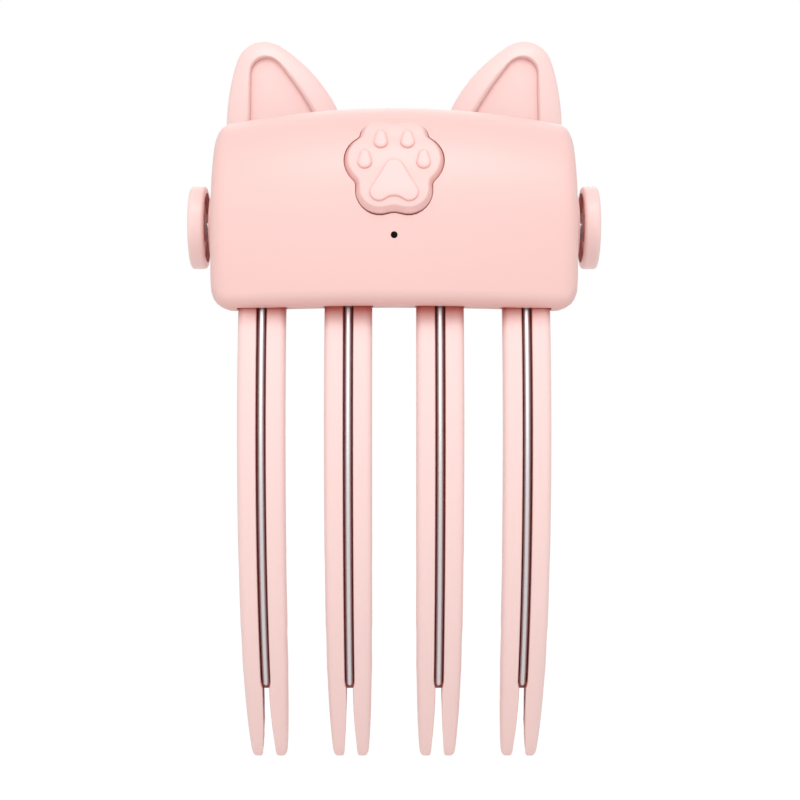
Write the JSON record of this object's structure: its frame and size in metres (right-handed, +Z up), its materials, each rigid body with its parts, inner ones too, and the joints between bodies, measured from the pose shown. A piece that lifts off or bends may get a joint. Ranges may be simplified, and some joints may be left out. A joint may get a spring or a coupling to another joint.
{
  "type": "heated volumizing hair clip",
  "caption": "Claw clip with a crowned pink housing, long double-pronged comb teeth that hold heating rods, a sprung cat-ear rear jaw and a paw button.",
  "frame": {"origin": "middle of the hinge axis", "axes": "+X along the hinge axis to the right in the front view, +Y from the front jaw to the rear jaw, +Z up towards the ears"},
  "size_m": [0.0688, 0.036, 0.1233],
  "materials": {
    "pink_satin": "satin",
    "comb_pink": "satin",
    "button_pink": "satin",
    "rod_steel": "polished along its length",
    "shell_steel": "brushed",
    "busbar_brass": "plain",
    "dark_plastic": "matte",
    "lens_black": "gloss",
    "lead_red": "satin",
    "cell_foil": "satin foil",
    "board_green": "solder mask",
    "led_white": "gloss"
  },
  "bodies": {
    "front_jaw": {"front_shell": "pink_satin", "rear_cover": "pink_satin", "front_comb": "comb_pink", "heating_rod_1": "rod_steel", "heating_rod_2": "rod_steel", "heating_rod_3": "rod_steel", "heating_rod_4": "rod_steel", "rod_holder": "dark_plastic", "return_busbar": "busbar_brass", "live_busbar": "busbar_brass", "heater_leads": "lead_red", "thermal_sensor": "dark_plastic", "left_cell": "cell_foil", "right_cell": "cell_foil", "cell_leads": "lead_red", "circuit_board": "board_green", "tact_switch": "dark_plastic", "status_led": "led_white", "indicator_lens": "lens_black", "usb_c_socket": "shell_steel", "cover_screws": "shell_steel", "hinge_spring": "shell_steel"},
    "rear_jaw_lever": {"rear_jaw": "pink_satin", "hinge_pin": "shell_steel", "left_knob": "pink_satin", "right_knob": "pink_satin"},
    "power_button": {"paw_button": "button_pink", "switch_plunger": "dark_plastic"}
  },
  "joints": [
    {"name": "jaw_hinge", "type": "hinge", "parent": "front_jaw", "child": "rear_jaw_lever", "pos_m": [0, 0, 0], "axis": [1, 0, 0], "range_deg": [0, 24], "stiffness_Nm_per_rad": 0.25, "springref_deg": -20.05, "deforming": ["hinge_spring"]},
    {"name": "button_slide", "type": "slide", "parent": "front_jaw", "child": "power_button", "axis": [0, 0.9397, -0.342], "range_m": [0, 0.0004], "stiffness_N_per_m": 2500, "springref_m": -0.0005}
  ]
}
